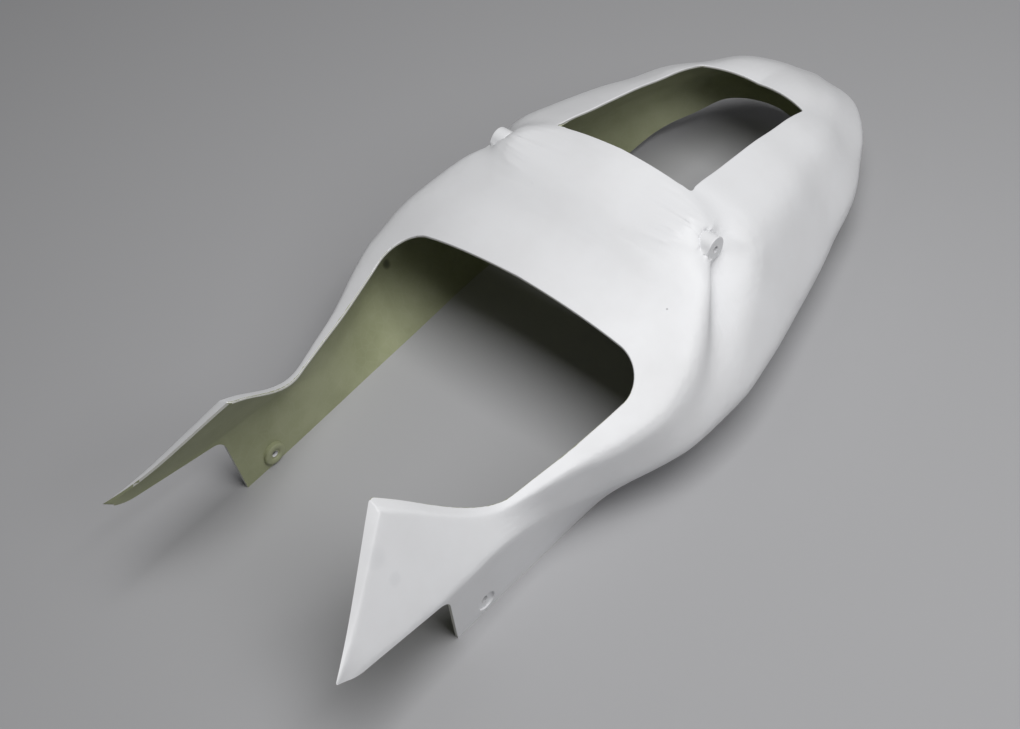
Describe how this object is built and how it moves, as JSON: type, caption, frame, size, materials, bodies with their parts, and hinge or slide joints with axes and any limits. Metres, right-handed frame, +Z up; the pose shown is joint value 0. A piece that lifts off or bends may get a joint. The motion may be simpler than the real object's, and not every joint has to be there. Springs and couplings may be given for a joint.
{
  "type": "motorcycle seat cowl",
  "caption": "One-piece moulded glass-fibre seat cowl with forward arms, open seat bay, roof opening, tucked tail and side bolt holes.",
  "frame": {"origin": "middle of the bounding box in plan, on the plane of the arms' bottom edges", "axes": "+X forward along the machine, +Y to the rider's left, +Z up"},
  "size_m": [0.835, 0.3792, 0.1861],
  "materials": {
    "gelcoat": "satin white gelcoat, pale green laminate inside"
  },
  "bodies": {
    "root": {"cowl_shell": "gelcoat"}
  },
  "joints": []
}
